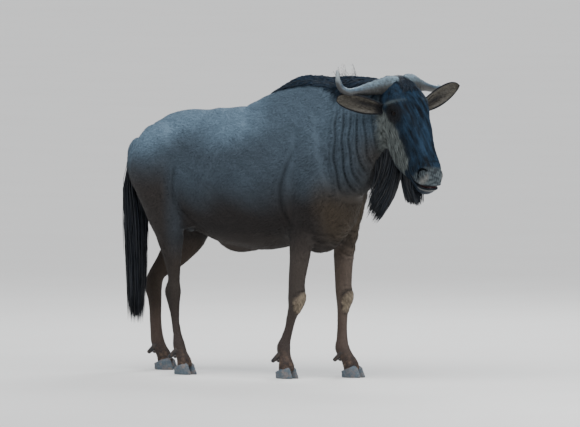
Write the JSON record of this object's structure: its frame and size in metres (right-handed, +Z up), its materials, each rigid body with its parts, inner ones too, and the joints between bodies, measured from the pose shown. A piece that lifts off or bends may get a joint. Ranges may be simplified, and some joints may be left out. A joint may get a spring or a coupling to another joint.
{
  "type": "wildebeest",
  "caption": "Standing blue wildebeest bull, life size, head lowered and turned toward its right, with curved horns, mane, beard and long tail tuft; a still display model.",
  "frame": {"origin": "on the floor under the middle of the animal's length and width", "axes": "+X toward the head, +Y toward the animal's left, +Z up"},
  "size_m": [1.837, 0.5508, 1.4377],
  "materials": {
    "hide": "short slate-grey coat with a bluish sheen, darker and browner below, with dark folds on the neck",
    "leg_hide": "short brown coat, with bare grey-tan skin on the knee",
    "face": "black blaze and muzzle over grey-brown cheeks",
    "ear": "tan inner side with a dark rim",
    "eye": "wet, dark brown",
    "horn": "rough grey boss, smoother toward a pale tip",
    "hoof": "dusty blue-grey horn with growth rings",
    "hair": "long blue-black hair in locks"
  },
  "bodies": {
    "root": {"torso": "hide", "neck": "hide", "head": "face", "eye_right": "eye", "eye_left": "eye", "horn_right": "horn", "horn_left": "horn", "ear_right": "ear", "ear_left": "ear", "foreleg_right": "leg_hide", "foreleg_left": "leg_hide", "hindleg_right": "leg_hide", "hindleg_left": "leg_hide", "hoof_fore_right_inner": "hoof", "hoof_fore_right_outer": "hoof", "hoof_fore_left_inner": "hoof", "hoof_fore_left_outer": "hoof", "hoof_hind_right_inner": "hoof", "hoof_hind_right_outer": "hoof", "hoof_hind_left_inner": "hoof", "hoof_hind_left_outer": "hoof", "dewclaw_fore_right_inner": "hoof", "dewclaw_fore_right_outer": "hoof", "dewclaw_fore_left_inner": "hoof", "dewclaw_fore_left_outer": "hoof", "dewclaw_hind_right_inner": "hoof", "dewclaw_hind_right_outer": "hoof", "dewclaw_hind_left_inner": "hoof", "dewclaw_hind_left_outer": "hoof", "tail": "hair", "mane": "hair", "beard_throat": "hair", "beard_jaw": "hair", "forelock": "hair"}
  },
  "joints": []
}
